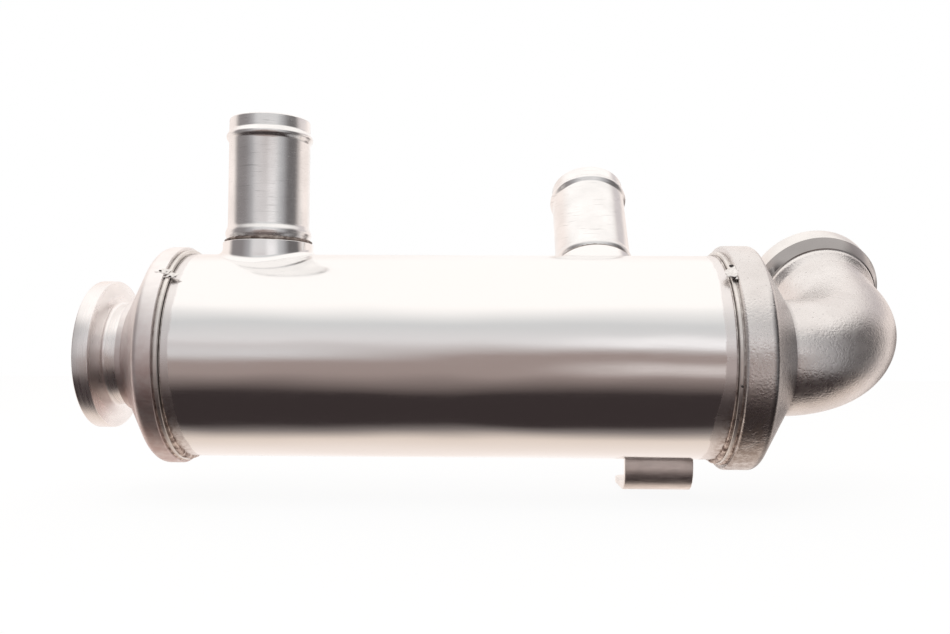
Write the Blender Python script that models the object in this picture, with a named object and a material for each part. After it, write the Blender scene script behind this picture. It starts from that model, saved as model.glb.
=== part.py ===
"""EGR cooler: a shell-and-tube exhaust gas cooler with V-band flanges and two hose spigots.

Metres, +Z up. The origin is the centre of the inlet flange's face, +X runs along the shell
to the outlet, and the bracket's foot lies level. Angles round the shell are in degrees from
+Z towards +Y, and a height is a distance from the shell's axis.
"""
import math

import bmesh
import bpy
from mathutils import Matrix, Vector

# Clearance at every brazed or welded seat, and the edge break on turned pieces
SEAT = 0.0003
EDGE_BREAK = 0.0004

# Facets round turned pieces, round plates and drilled holes, and along rounds and sheet bends
TURNED_SIDES = 40
PLATE_SIDES = 32
DRILL_SIDES = 24
ROUND_STEPS = 3
SHEET_STEPS = 5
SMOOTH_ANGLE = 35

# How far a cutter runs past what it cuts
OVERSHOOT = 0.0100

# Shell
SHELL_RADIUS = 0.0275
SHELL_WALL = 0.0015
SHELL_LENGTH = 0.1410
SHELL_SIDES = 56

# Inlet flange, a turned ring with a short neck
FLANGE_RADIUS = 0.0200
FLANGE_RIM = 0.0042
FLANGE_BORE = 0.0122
NECK_RADIUS = 0.0137
NECK_LENGTH = 0.0140
NECK_FILLET = 0.0009

# Inlet cap, pressed from sheet: hub, cone, shoulder and skirt
CAP_HUB_START = 0.0091
CAP_HUB_LENGTH = 0.0014
CAP_HUB_WALL = 0.0012
CAP_CONE_ANGLE = 58.0
CAP_WALL = 0.0016
CAP_OVERHANG = 0.0008
CAP_SHOULDER_ROUND = 0.0022
CAP_SKIRT = 0.0033

# Header plates, pressed cups with an outward rim
HEADER_RIM_STEP = 0.0011
HEADER_RIM = 0.0010
HEADER_CUP_WALL = 0.0012
HEADER_CUP_DEPTH = 0.0045
HEADER_PLATE = 0.0015
HEADER_ROUND = 0.0010

# Gas tubes, on a hexagonal grid that leaves room for coolant inside the shell
TUBE_RADIUS = 0.0035
TUBE_WALL = 0.0007
TUBE_GAP = 0.0026
TUBE_ROOM = 0.0030
TUBE_PROUD = 0.0006
TUBE_SIDES = 12

# Baffles across the coolant space, with windows on opposite sides
BAFFLE_PLATE = 0.0012
BAFFLE_SPACING = 0.0320
BAFFLE_CUT_ROWS = 1.5

# Coolant spigots, with a hose bead near the rim and a stop bead on the collar
SPIGOT_RADIUS = 0.0110
SPIGOT_WALL = 0.0015
SPIGOT_HEIGHT = 0.0646
HOSE_BEAD_RISE = 0.00075
HOSE_BEAD_WIDTH = 0.0036
HOSE_BEAD_FROM_RIM = 0.0049
STOP_BEAD_RISE = 0.0006
STOP_BEAD_WIDTH = 0.0045
INLET_SPIGOT_FROM_START = 0.0196
INLET_SPIGOT_ANGLE = 0.0
OUTLET_SPIGOT_FROM_END = 0.0298
OUTLET_SPIGOT_ANGLE = 36.2
SPIGOT_SIDES = 24
BEAD_STEPS = 4
BEAD_BORE_STEPS = 2

# Collars drawn out of the shell's wall to take the spigots
COLLAR_RISE = 0.0030
COLLAR_WALL = 0.0009
COLLAR_FLARE = 0.0016
COLLAR_FLARE_TURNS = (30, 60, 90)
COLLAR_SINK = 0.0002
COLLAR_SIDES = 28

# Outlet elbow, one casting: collar, cone, bend, leg and flange
CAST_OVERHANG = 0.0016
CAST_WALL = 0.0030
CAST_MOUTH_ROUND = 0.0008
CAST_COLLAR = 0.0068
CAST_SHOULDER_ROUND = 0.0014
CAST_CONE_END = 0.0166
CREASE_RADIUS = 0.0158
LEG_RADIUS = 0.0148
ELBOW_WALL = 0.0029
CREASE_TO_BEND = 0.0008
BEND_RADIUS = 0.0215
BEND_CREASE = 0.8
LEG_ANGLE = 61.0
LEG_HEIGHT = 0.0466
OUTLET_FLANGE_RADIUS = 0.0192
OUTLET_FLANGE_RIM = 0.0061
OUTLET_FLANGE_CONE = 0.0038
OUTLET_FLANGE_FOOT = 0.0166
OUTLET_LIP = 0.0010
BEND_STEPS = 10
CAST_SIDES = 36

# Bracket, a strip of sheet: a saddle under the shell's back, a short drop and a foot
BRACKET_FROM_END = 0.0126
BRACKET_WIDTH = 0.0191
BRACKET_SHEET = 0.0020
BRACKET_WRAP = 48.0
BRACKET_FACE_Y = 0.0080
BRACKET_TOP_BEND = 0.0020
BRACKET_STRAIGHT = 0.0017
BRACKET_BEND = 0.0048
BRACKET_FOOT = 0.0235
BRACKET_HOLE_RADIUS = 0.00425
BRACKET_HOLE_FROM_END = 0.0095
BRACKET_CORNER = 0.0030

# The header plates' rims stand out past the shell, and the cap and the casting past the rims
HEADER_RIM_RADIUS = SHELL_RADIUS + HEADER_RIM_STEP
CAP_RADIUS = HEADER_RIM_RADIUS + CAP_OVERHANG
CAST_RADIUS = HEADER_RIM_RADIUS + CAST_OVERHANG
COLLAR_HEIGHT = SHELL_RADIUS + COLLAR_RISE

# The cap's hub fits the neck, and its cone runs on to the middle of the shoulder's round
CAP_SLOPE = math.radians(CAP_CONE_ANGLE)
CAP_HUB_BORE = NECK_RADIUS + SEAT
CAP_HUB_RADIUS = CAP_HUB_BORE + CAP_HUB_WALL
CAP_HUB_END = CAP_HUB_START + CAP_HUB_LENGTH
CAP_RISE = CAP_RADIUS - CAP_SHOULDER_ROUND - CAP_HUB_RADIUS
CAP_RUN = (CAP_RISE * math.cos(CAP_SLOPE) + CAP_SHOULDER_ROUND) / math.sin(CAP_SLOPE)

# Stations along the axis
CAP_END = CAP_HUB_END + CAP_RUN + CAP_SKIRT
SHELL_START = CAP_END + HEADER_RIM + 2 * SEAT
SHELL_END = SHELL_START + SHELL_LENGTH
CAST_START = SHELL_END + HEADER_RIM + 2 * SEAT
INLET_SPIGOT_X = SHELL_START + INLET_SPIGOT_FROM_START
OUTLET_SPIGOT_X = SHELL_END - OUTLET_SPIGOT_FROM_END
BRACKET_X = SHELL_END - BRACKET_FROM_END

# Bores, and the spacing of the gas tubes and of their rows
SHELL_BORE = SHELL_RADIUS - SHELL_WALL
COLLAR_BORE = SPIGOT_RADIUS + SEAT
TUBE_PITCH = 2 * TUBE_RADIUS + TUBE_GAP
TUBE_ROW = TUBE_PITCH * math.sin(math.radians(60))

# Finishes: colour, roughness
POLISHED = ((0.78, 0.76, 0.74), 0.18)
SATIN = ((0.66, 0.63, 0.60), 0.38)
SHEET = ((0.62, 0.58, 0.55), 0.32)
CAST = ((0.56, 0.53, 0.51), 0.48)


def clear_scene():
    for item in list(bpy.data.objects):
        bpy.data.objects.remove(item, do_unlink=True)


def add_finish(made, finish):
    """A metal of the piece's own, from a finish's colour and roughness."""
    colour, roughness = finish
    metal = bpy.data.materials.new(made.name)
    metal.use_nodes = True
    shader = metal.node_tree.nodes["Principled BSDF"]
    shader.inputs["Base Color"].default_value = (*colour, 1.0)
    shader.inputs["Roughness"].default_value = roughness
    shader.inputs["Metallic"].default_value = 1.0
    made.data.materials.append(metal)


def add_object(name, form, finish=None):
    """An object from a bmesh, facing out, with its round faces shaded smooth."""
    bmesh.ops.recalc_face_normals(form, faces=form.faces)
    mesh = bpy.data.meshes.new(name)
    form.to_mesh(mesh)
    form.free()
    mesh.shade_smooth()
    mesh.set_sharp_from_angle(angle=math.radians(SMOOTH_ANGLE))
    made = bpy.data.objects.new(name, mesh)
    bpy.context.scene.collection.objects.link(made)
    if finish:
        add_finish(made, finish)
    return made


def add_tool(name, form):
    """A guide for a Boolean, left out of the part."""
    made = add_object(name, form)
    made.hide_render = True
    made.display_type = "WIRE"
    return made


def boolean(target, tool, operation):
    step = target.modifiers.new(tool.name, "BOOLEAN")
    step.operation = operation
    step.object = tool


def arc(centre, radius, start, end, steps=ROUND_STEPS):
    """Points on an arc, from one angle to another, the first axis being at 0 degrees."""
    turns = [math.radians(start + (end - start) * step / steps) for step in range(steps + 1)]
    return [(centre[0] + radius * math.cos(turn), centre[1] + radius * math.sin(turn))
            for turn in turns]


def turned(outline, sides, hollow=True):
    """An outline of (along, radius) points turned round X. A solid's outline ends on the axis."""
    form = bmesh.new()
    points = [form.verts.new((along, 0.0, radius)) for along, radius in outline]
    ends = points[1:] + points[:1] if hollow else points[1:]
    edges = [form.edges.new(pair) for pair in zip(points, ends)]
    bmesh.ops.spin(form, geom=points + edges, cent=(0, 0, 0), axis=(1, 0, 0),
                   angle=math.tau, steps=sides)
    bmesh.ops.remove_doubles(form, verts=form.verts, dist=1e-6)
    return form


def bar(start, end, radius, sides, y=0.0, z=0.0):
    """A round bar along X."""
    form = bmesh.new()
    add_bar(form, start, end, radius, sides, y, z)
    return form


def add_bar(form, start, end, radius, sides, y, z):
    lie = Matrix.Translation(((start + end) / 2, y, z)) @ Matrix.Rotation(math.pi / 2, 4, "Y")
    bmesh.ops.create_cone(form, cap_ends=True, segments=sides, radius1=radius, radius2=radius,
                          depth=end - start, matrix=lie)


def standing(angle, along):
    """Where a piece made along X stands out of the shell, at an angle and a place along it."""
    outward = Vector((0, math.sin(math.radians(angle)), math.cos(math.radians(angle))))
    across = Vector((1, 0, 0))
    turn = Matrix((outward, across, outward.cross(across))).transposed()
    return Matrix.Translation((along, 0, 0)) @ turn.to_4x4()


def tube_centres():
    """Places (y, z) of the gas tubes: the points of the grid with room round them, nearest first."""
    reach = SHELL_BORE - TUBE_ROOM - TUBE_RADIUS
    rows = int(reach / TUBE_ROW)
    columns = int(reach / TUBE_PITCH) + 1
    centres = []
    for row in range(-rows, rows + 1):
        for column in range(-columns, columns + 1):
            y = TUBE_PITCH * (column + row % 2 / 2)
            if math.hypot(y, TUBE_ROW * row) <= reach:
                centres.append((y, TUBE_ROW * row))
    return sorted(centres, key=lambda centre: round(math.hypot(*centre), 6))


def make_inlet_flange():
    outline = [(0, FLANGE_BORE + EDGE_BREAK), (0, FLANGE_RADIUS - EDGE_BREAK),
               (EDGE_BREAK, FLANGE_RADIUS), (FLANGE_RIM - EDGE_BREAK, FLANGE_RADIUS),
               (FLANGE_RIM, FLANGE_RADIUS - EDGE_BREAK)]
    outline += arc((FLANGE_RIM + 2 * NECK_FILLET, NECK_RADIUS + NECK_FILLET), NECK_FILLET, 180, 270)
    outline += [(NECK_LENGTH, NECK_RADIUS), (NECK_LENGTH, FLANGE_BORE), (EDGE_BREAK, FLANGE_BORE)]
    add_object("inlet_flange", turned(outline, TURNED_SIDES), SATIN)


def make_inlet_cap():
    """One sheet: a hub round the flange's neck, a cone, and a skirt that ends on the header."""
    shoulder = (CAP_HUB_END + CAP_RUN, CAP_RADIUS - CAP_SHOULDER_ROUND)
    drop = CAP_HUB_WALL - CAP_WALL * math.cos(CAP_SLOPE)
    foot = CAP_HUB_END + CAP_WALL * math.sin(CAP_SLOPE) - drop / math.tan(CAP_SLOPE)
    outline = [(CAP_HUB_START, CAP_HUB_BORE), (CAP_HUB_START, CAP_HUB_RADIUS),
               (CAP_HUB_END, CAP_HUB_RADIUS)]
    outline += arc(shoulder, CAP_SHOULDER_ROUND, 90 + CAP_CONE_ANGLE, 90, SHEET_STEPS)
    outline += [(CAP_END, CAP_RADIUS), (CAP_END, CAP_RADIUS - CAP_WALL)]
    outline += arc(shoulder, CAP_SHOULDER_ROUND - CAP_WALL, 90, 90 + CAP_CONE_ANGLE)
    outline += [(foot, CAP_HUB_BORE)]
    add_object("inlet_cap", turned(outline, TURNED_SIDES), SATIN)


def make_tube_holes(name, start, end):
    """A tool with one bar for each gas tube, a seat's clearance larger."""
    form = bmesh.new()
    for y, z in tube_centres():
        add_bar(form, start, end, TUBE_RADIUS + SEAT, TUBE_SIDES, y, z)
    return add_tool(name, form)


def make_header_plate(name, rim, inward):
    """A cup let into the shell's end. Its rim starts at a station, and its plate lies inward."""
    cup = SHELL_BORE - SEAT
    depth = HEADER_RIM + HEADER_CUP_DEPTH
    outline = [(depth, 0)]
    outline += arc((depth - HEADER_ROUND, cup - HEADER_ROUND), HEADER_ROUND, 0, 90)
    outline += [(HEADER_RIM, cup), (HEADER_RIM, HEADER_RIM_RADIUS), (0, HEADER_RIM_RADIUS),
                (0, cup - HEADER_CUP_WALL), (depth - HEADER_PLATE, cup - HEADER_CUP_WALL),
                (depth - HEADER_PLATE, 0)]
    placed = [(rim + inward * along, radius) for along, radius in outline]
    plate = add_object(name, turned(placed, PLATE_SIDES, hollow=False), SATIN)
    ends = sorted((rim, rim + 2 * inward * depth))
    boolean(plate, make_tube_holes(name + "_holes", *ends), "DIFFERENCE")


def make_gas_tubes():
    """Straight tubes that stand a little proud of both header plates."""
    reach = HEADER_RIM + HEADER_CUP_DEPTH - HEADER_PLATE - TUBE_PROUD
    start = CAP_END + SEAT + reach
    end = CAST_START - SEAT - reach
    bore = TUBE_RADIUS - TUBE_WALL
    outline = [(start, bore), (start, TUBE_RADIUS), (end, TUBE_RADIUS), (end, bore)]
    for number, (y, z) in enumerate(tube_centres(), 1):
        tube = add_object(f"gas_tube_{number:02d}", turned(outline, TUBE_SIDES), SATIN)
        tube.location = (0, y, z)


def make_baffle(name, station, side):
    """A plate across the shell, cut away between two rows of tubes on one side."""
    end = station + BAFFLE_PLATE
    radius = SHELL_BORE - SEAT
    outline = [(station, 0), (station, radius), (end, radius), (end, 0)]
    plate = add_object(name, turned(outline, PLATE_SIDES, hollow=False), SATIN)
    holes = make_tube_holes(name + "_holes", station - BAFFLE_PLATE, end + BAFFLE_PLATE)
    boolean(plate, holes, "DIFFERENCE")
    window = bmesh.new()
    bmesh.ops.create_cube(window, size=2 * SHELL_RADIUS)
    past_row = side * (BAFFLE_CUT_ROWS * TUBE_ROW + SHELL_RADIUS)
    bmesh.ops.translate(window, verts=window.verts, vec=(station, 0, past_row))
    boolean(plate, add_tool(name + "_window", window), "DIFFERENCE")


def bead(middle, width, rise, radius, steps):
    """A rolled bead on a tube's wall, from the far end of the bead to the near one."""
    shares = [1 - 2 * step / steps for step in range(steps + 1)]
    return [(middle + width / 2 * share, radius + rise * (1 + math.cos(math.pi * share)) / 2)
            for share in shares]


def make_spigot(name, along, angle):
    """A tube with two rolled beads, its foot cut to the shell's round bore."""
    bore = SPIGOT_RADIUS - SPIGOT_WALL
    hose = SPIGOT_HEIGHT - HOSE_BEAD_FROM_RIM
    stop = COLLAR_HEIGHT + SEAT + STOP_BEAD_WIDTH / 2
    foot = SHELL_BORE - COLLAR_BORE / 2
    outline = [(SPIGOT_HEIGHT, bore), (SPIGOT_HEIGHT, SPIGOT_RADIUS - EDGE_BREAK),
               (SPIGOT_HEIGHT - EDGE_BREAK, SPIGOT_RADIUS)]
    outline += bead(hose, HOSE_BEAD_WIDTH, HOSE_BEAD_RISE, SPIGOT_RADIUS, BEAD_STEPS)
    outline += bead(stop, STOP_BEAD_WIDTH, STOP_BEAD_RISE, SPIGOT_RADIUS, BEAD_STEPS)
    outline += [(foot, SPIGOT_RADIUS), (foot, bore)]
    outline += bead(stop, STOP_BEAD_WIDTH, STOP_BEAD_RISE, bore, BEAD_BORE_STEPS)[::-1]
    outline += bead(hose, HOSE_BEAD_WIDTH, HOSE_BEAD_RISE, bore, BEAD_BORE_STEPS)[::-1]
    spigot = add_object(name, turned(outline, SPIGOT_SIDES), SATIN)
    spigot.matrix_world = standing(angle, along)
    trim = add_tool(name + "_saddle", bar(along - 2 * SPIGOT_RADIUS, along + 2 * SPIGOT_RADIUS,
                                          SHELL_BORE + SEAT, SHELL_SIDES))
    boolean(spigot, trim, "DIFFERENCE")


def make_collar(name, along, angle):
    """A solid collar that flares into the shell's round wall along a saddle curve."""
    outer = COLLAR_BORE + COLLAR_WALL
    root = SHELL_BORE - COLLAR_BORE
    form = bmesh.new()

    def ring(radius, height_above_wall=None, level=None):
        points = []
        for side in range(COLLAR_SIDES):
            turn = math.tau * side / COLLAR_SIDES
            across, around = radius * math.cos(turn), radius * math.sin(turn)
            wall = math.sqrt(SHELL_RADIUS ** 2 - around ** 2)
            height = wall + height_above_wall if level is None else level
            points.append(form.verts.new((height, across, around)))
        return points

    rings = [ring(outer + COLLAR_FLARE, level=root), ring(outer + COLLAR_FLARE, -COLLAR_SINK)]
    for turn in COLLAR_FLARE_TURNS:
        lean = math.radians(turn)
        spread = COLLAR_FLARE * (1 - math.sin(lean))
        rings.append(ring(outer + spread, COLLAR_FLARE * (1 - math.cos(lean))))
    rings.append(ring(outer, level=COLLAR_HEIGHT - EDGE_BREAK))
    rings.append(ring(outer - EDGE_BREAK / 2, level=COLLAR_HEIGHT))
    for low, high in zip(rings, rings[1:]):
        for side in range(COLLAR_SIDES):
            following = (side + 1) % COLLAR_SIDES
            form.faces.new((low[side], low[following], high[following], high[side]))
    form.faces.new(rings[0][::-1])
    form.faces.new(rings[-1])
    collar = add_tool(name + "_collar", form)
    collar.matrix_world = standing(angle, along)
    return collar


def make_housing_tube(spigots):
    """The shell: a bar with drawn collars, bored along the axis and through each collar."""
    shell = add_object("housing_tube", bar(SHELL_START, SHELL_END, SHELL_RADIUS, SHELL_SIDES),
                       POLISHED)
    for name, along, angle in spigots:
        boolean(shell, make_collar(name, along, angle), "UNION")
    space = bar(SHELL_START - OVERSHOOT, SHELL_END + OVERSHOOT, SHELL_BORE, SHELL_SIDES)
    boolean(shell, add_tool("shell_bore", space), "DIFFERENCE")
    for name, along, angle in spigots:
        drill = bar(SHELL_BORE / 2, SPIGOT_HEIGHT, COLLAR_BORE, COLLAR_SIDES)
        hole = add_tool(name + "_bore", drill)
        hole.matrix_world = standing(angle, along)
        boolean(shell, hole, "DIFFERENCE")


def elbow_ring(form, path, radius, crease):
    """A ring of the casting where the path has come to, with its inner side drawn to a crease."""
    leg = Vector((0, math.sin(math.radians(LEG_ANGLE)), math.cos(math.radians(LEG_ANGLE))))
    run = Vector((1, 0, 0))
    bend_start = CAST_CONE_END + CREASE_TO_BEND
    past = path - bend_start
    turn = min(max(past / BEND_RADIUS, 0.0), math.pi / 2)
    outward = -leg * math.cos(turn) + run * math.sin(turn)
    ahead = run * math.cos(turn) + leg * math.sin(turn)
    straight = past - turn * BEND_RADIUS
    pivot = run * (CAST_START + bend_start) + leg * BEND_RADIUS
    centre = pivot + outward * BEND_RADIUS + ahead * straight
    sideways = ahead.cross(outward)
    inner = BEND_RADIUS - radius
    corner = inner / math.cos(min(turn, math.pi / 2 - turn)) - inner
    points = []
    for side in range(CAST_SIDES):
        angle = math.tau * side / CAST_SIDES
        away = radius * math.cos(angle)
        if away < 0:
            away *= 1 - crease * corner / radius
        points.append(form.verts.new(centre + outward * away + sideways * radius * math.sin(angle)))
    return points


def make_outlet_elbow():
    """One casting. Its outlines are (path, radius) points along a path that runs, bends and rises."""
    bend_start = CAST_CONE_END + CREASE_TO_BEND
    bend_length = BEND_RADIUS * math.pi / 2
    face = bend_start + bend_length + LEG_HEIGHT - BEND_RADIUS
    bend = [(bend_start + bend_length * step / BEND_STEPS,
             CREASE_RADIUS + (LEG_RADIUS - CREASE_RADIUS) * step / BEND_STEPS)
            for step in range(BEND_STEPS + 1)]

    # The cone leaves the shoulder's round at a tangent and ends at the crease
    shoulder = (CAST_COLLAR, CAST_RADIUS - CAST_SHOULDER_ROUND)
    reach = (CAST_CONE_END - shoulder[0], CREASE_RADIUS - shoulder[1])
    touch = math.atan2(reach[1], reach[0]) + math.acos(CAST_SHOULDER_ROUND / math.hypot(*reach))
    mouth = CAST_RADIUS - CAST_WALL
    throat = CREASE_RADIUS - ELBOW_WALL
    cone_in = CAST_CONE_END - (CAST_WALL / math.sin(touch) - ELBOW_WALL) * math.tan(touch)
    cone_out = cone_in - (mouth - throat) * math.tan(touch)

    # A short flare leads from the leg to the flange's foot
    rim = face - OUTLET_FLANGE_RIM
    foot = rim - OUTLET_FLANGE_CONE
    lip = foot - OUTLET_LIP
    flare = lip - (OUTLET_FLANGE_FOOT - LEG_RADIUS)
    bore = LEG_RADIUS - ELBOW_WALL
    outer = arc((CAST_MOUTH_ROUND, CAST_RADIUS - CAST_MOUTH_ROUND), CAST_MOUTH_ROUND, 180, 90)
    outer += arc(shoulder, CAST_SHOULDER_ROUND, 90, math.degrees(touch))
    outer += [(CAST_CONE_END, CREASE_RADIUS)] + bend
    outer += [(flare, LEG_RADIUS), (lip, OUTLET_FLANGE_FOOT), (foot, OUTLET_FLANGE_FOOT),
              (rim, OUTLET_FLANGE_RADIUS), (face - EDGE_BREAK, OUTLET_FLANGE_RADIUS),
              (face, OUTLET_FLANGE_RADIUS - EDGE_BREAK)]
    inner = [(face, bore + EDGE_BREAK), (face - EDGE_BREAK, bore)]
    inner += [(path, radius - ELBOW_WALL) for path, radius in bend[::-2]]
    inner += [(cone_in, throat), (cone_out, mouth), (0, mouth)]

    form = bmesh.new()
    rings = [elbow_ring(form, path, radius, BEND_CREASE) for path, radius in outer]
    rings += [elbow_ring(form, path, radius, 0.0) for path, radius in inner]
    for first, second in zip(rings, rings[1:] + rings[:1]):
        for side in range(CAST_SIDES):
            following = (side + 1) % CAST_SIDES
            form.faces.new((first[side], first[following], second[following], second[side]))
    add_object("outlet_elbow", form, CAST)


def make_bracket():
    """A bent strip: a saddle on the shell, a bend down, a bend out and a foot with a bolt hole."""
    near = SHELL_RADIUS + SEAT
    far = near + BRACKET_SHEET
    foot_end = BRACKET_FACE_Y + BRACKET_FOOT
    outer_top = BRACKET_TOP_BEND + BRACKET_SHEET
    top_y = BRACKET_FACE_Y + outer_top
    top = (top_y, -math.sqrt((near + outer_top) ** 2 - top_y ** 2))
    leave = math.degrees(math.atan2(top[1], top[0]))
    low = (BRACKET_FACE_Y + BRACKET_SHEET + BRACKET_BEND, top[1] - BRACKET_STRAIGHT)
    sole = low[1] - BRACKET_BEND - BRACKET_SHEET
    outline = arc((0, 0), near, leave + BRACKET_WRAP, leave, SHEET_STEPS)
    outline += arc(top, outer_top, leave + 180, 180)
    outline += arc(low, BRACKET_BEND + BRACKET_SHEET, 180, 270, SHEET_STEPS)
    outline += [(foot_end, sole), (foot_end, sole + BRACKET_SHEET)]
    outline += arc(low, BRACKET_BEND, 270, 180, SHEET_STEPS)
    outline += arc(top, BRACKET_TOP_BEND, 180, leave + 180)
    outline += arc((0, 0), far, leave, leave + BRACKET_WRAP, SHEET_STEPS)

    form = bmesh.new()
    left = BRACKET_X - BRACKET_WIDTH / 2
    side = form.faces.new([form.verts.new((left, y, z)) for y, z in outline])
    made = bmesh.ops.extrude_face_region(form, geom=[side])
    moved = [item for item in made["geom"] if isinstance(item, bmesh.types.BMVert)]
    bmesh.ops.translate(form, verts=moved, vec=(BRACKET_WIDTH, 0, 0))
    corners = [edge for edge in form.edges
               if all(abs(v.co.y - foot_end) < 1e-6 for v in edge.verts)
               and abs(edge.verts[0].co.x - edge.verts[1].co.x) < 1e-6]
    bmesh.ops.bevel(form, geom=corners, offset=BRACKET_CORNER, segments=ROUND_STEPS,
                    profile=0.5, affect="EDGES")
    bracket = add_object("mounting_bracket", form, SHEET)

    drill = bmesh.new()
    bmesh.ops.create_cone(drill, cap_ends=True, segments=DRILL_SIDES, radius1=BRACKET_HOLE_RADIUS,
                          radius2=BRACKET_HOLE_RADIUS, depth=OVERSHOOT)
    hole = add_tool("bracket_hole", drill)
    hole.location = (BRACKET_X, foot_end - BRACKET_HOLE_FROM_END, sole + BRACKET_SHEET / 2)
    boolean(bracket, hole, "DIFFERENCE")


def main():
    clear_scene()
    spigots = [("coolant_inlet_spigot", INLET_SPIGOT_X, INLET_SPIGOT_ANGLE),
               ("coolant_outlet_spigot", OUTLET_SPIGOT_X, OUTLET_SPIGOT_ANGLE)]
    make_inlet_flange()
    make_inlet_cap()
    make_header_plate("inlet_header_plate", CAP_END + SEAT, 1)
    make_header_plate("outlet_header_plate", CAST_START - SEAT, -1)
    make_gas_tubes()
    middle = (INLET_SPIGOT_X + OUTLET_SPIGOT_X) / 2
    make_baffle("baffle_inlet_side", middle - BAFFLE_SPACING / 2, 1)
    make_baffle("baffle_outlet_side", middle + BAFFLE_SPACING / 2, -1)
    make_housing_tube(spigots)
    for name, along, angle in spigots:
        make_spigot(name, along, angle)
    make_outlet_elbow()
    make_bracket()


main()
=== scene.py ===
"""Looks of the EGR cooler: finer meshes, metals with their wear, braze, welds, studio and camera."""
import math

import bmesh
import bpy
from mathutils import Matrix, Vector, noise


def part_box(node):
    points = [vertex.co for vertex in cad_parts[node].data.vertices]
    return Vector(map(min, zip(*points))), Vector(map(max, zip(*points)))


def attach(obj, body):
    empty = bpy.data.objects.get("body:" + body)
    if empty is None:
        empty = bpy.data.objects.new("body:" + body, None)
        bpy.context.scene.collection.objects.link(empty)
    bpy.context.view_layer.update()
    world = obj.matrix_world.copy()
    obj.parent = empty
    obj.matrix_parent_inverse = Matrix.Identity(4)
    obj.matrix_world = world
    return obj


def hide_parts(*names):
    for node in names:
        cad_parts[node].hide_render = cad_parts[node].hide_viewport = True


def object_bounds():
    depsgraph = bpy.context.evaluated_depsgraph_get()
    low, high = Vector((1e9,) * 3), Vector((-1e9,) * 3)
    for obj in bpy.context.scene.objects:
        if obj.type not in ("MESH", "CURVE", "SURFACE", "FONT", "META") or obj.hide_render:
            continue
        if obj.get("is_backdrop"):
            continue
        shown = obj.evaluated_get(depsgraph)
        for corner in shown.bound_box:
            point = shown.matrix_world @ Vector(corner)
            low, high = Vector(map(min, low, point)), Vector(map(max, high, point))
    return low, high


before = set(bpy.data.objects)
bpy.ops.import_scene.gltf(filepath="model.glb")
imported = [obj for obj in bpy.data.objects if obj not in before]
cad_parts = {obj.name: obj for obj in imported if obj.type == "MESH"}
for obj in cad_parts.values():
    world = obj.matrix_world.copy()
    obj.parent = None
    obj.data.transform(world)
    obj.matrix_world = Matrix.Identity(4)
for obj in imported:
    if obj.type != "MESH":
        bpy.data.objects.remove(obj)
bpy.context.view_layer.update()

# Camera: focal length in pixels of the photograph, place and angles
IMAGE_WIDTH = 950
SENSOR = 36.0
FOCAL_PIXELS = 902.0
CAMERA_X = 0.1077
CAMERA_DISTANCE = 0.2470
YAW = math.radians(1.26)
PITCH = math.radians(2.47)
ROLL = math.radians(-0.335)

# Radius of the studio's walls
WALLS_RADIUS = 1.5

# Facets of the fine meshes
SIDES = 192
SHELL_SIDES = 256
TUBE_SIDES = 32
COLLAR_SIDES = 144
ROUND_STEPS = 8
EDGE_STEPS = 4
RIM_STEPS = 3
BEAD_STEPS = 16

# Clearance at the seats, and the edge break on turned pieces
SEAT = 0.0003
EDGE_BREAK = 0.0004

# Inlet flange and its neck
FLANGE_RIM = 0.0042
FLANGE_BORE = 0.0122
NECK_RADIUS = 0.0137
NECK_FILLET = 0.0009

# Inlet cap
CAP_HUB_LENGTH = 0.0014
CAP_HUB_WALL = 0.0012
CAP_CONE_ANGLE = 58.0
CAP_WALL = 0.0016
CAP_SHOULDER_ROUND = 0.0022

# Header plates
HEADER_RIM = 0.0010
HEADER_CUP_WALL = 0.0012
HEADER_PLATE = 0.0015
HEADER_ROUND = 0.0010
PLATE_CENTRE = 0.0001
TUBE_WALL = 0.0007

# Shell, spigots and the collars that take them
SHELL_WALL = 0.0015
SPIGOT_RADIUS = 0.0110
SPIGOT_WALL = 0.0015
HOSE_BEAD_RISE = 0.00075
HOSE_BEAD_WIDTH = 0.0036
HOSE_BEAD_FROM_RIM = 0.0049
STOP_BEAD_RISE = 0.0006
STOP_BEAD_WIDTH = 0.0045
COLLAR_HEIGHT = 0.0305
COLLAR_WALL = 0.0009
COLLAR_FLARE = 0.0016
COLLAR_SINK = 0.00002
OUTLET_SPIGOT_ANGLE = 36.2

# Outlet elbow
CAST_RADIUS = 0.03019
CAST_WALL = 0.0030
CAST_MOUTH_ROUND = 0.0008
CAST_COLLAR = 0.0068
CAST_SHOULDER_ROUND = 0.0014
CAST_CONE_END = 0.0166
CREASE_RADIUS = 0.0158
LEG_RADIUS = 0.0148
ELBOW_WALL = 0.0029
CREASE_TO_BEND = 0.0008
BEND_RADIUS = 0.0215
BEND_CREASE = 0.8
BEND_STEPS = 60
LEG_ANGLE = 61.0
LEG_HEIGHT = 0.0466
OUTLET_FLANGE_RADIUS = 0.0191
OUTLET_FLANGE_RIM = 0.0061
OUTLET_FLANGE_CONE = 0.0038
OUTLET_FLANGE_FOOT = 0.0166
OUTLET_LIP = 0.0010
FLARE_LEAD = 0.0012
FLARE_END = 0.0006
FLARE_EASE = 0.0003
TAPER_STEP = 0.0001
TAPER_RISE = 0.0005

# Bracket's edges
BRACKET_EDGE = 0.0003
BRACKET_EDGE_ANGLE = 50

# Braze beads: facets round a bead, its lumpiness, and where it pools below
BRAZE_SIDES = 10
BRAZE_GRAIN = 18.0
BRAZE_LUMPS = 0.35
POOL_TURN = 0.35
POOL_START = 0.05
POOL_RANGE = 0.75

# Tack welds and burnt specks: their grain, and how uneven they are
LUMP_GRAIN = 1.7
TACK_UNEVEN = 0.5
SPECK_UNEVEN = 0.25

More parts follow.
